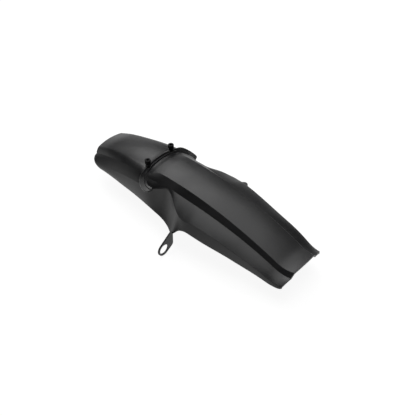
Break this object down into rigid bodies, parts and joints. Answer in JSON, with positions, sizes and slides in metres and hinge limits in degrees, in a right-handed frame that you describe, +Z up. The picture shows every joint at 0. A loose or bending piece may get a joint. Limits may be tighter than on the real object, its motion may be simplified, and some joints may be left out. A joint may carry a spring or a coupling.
{
  "type": "bicycle fork mudguard",
  "caption": "Moulded front mudguard with a raised spine, stepped side panels, a collar lip that wraps the fork arch and side eyelets for the fork legs; keeps tyre spray off the rider.",
  "frame": {"origin": "midway between the two arch screws, on the flat tops of their bosses", "axes": "+X back along the guard towards its tail, +Y across the wheel, +Z up along the arch screws"},
  "size_m": [0.3062, 0.1538, 0.0679],
  "materials": {
    "guard_plastic": "satin moulded black",
    "screw_black": "black oxide"
  },
  "bodies": {
    "root": {"guard_shell": "guard_plastic", "arch_screws": "screw_black"}
  },
  "joints": []
}
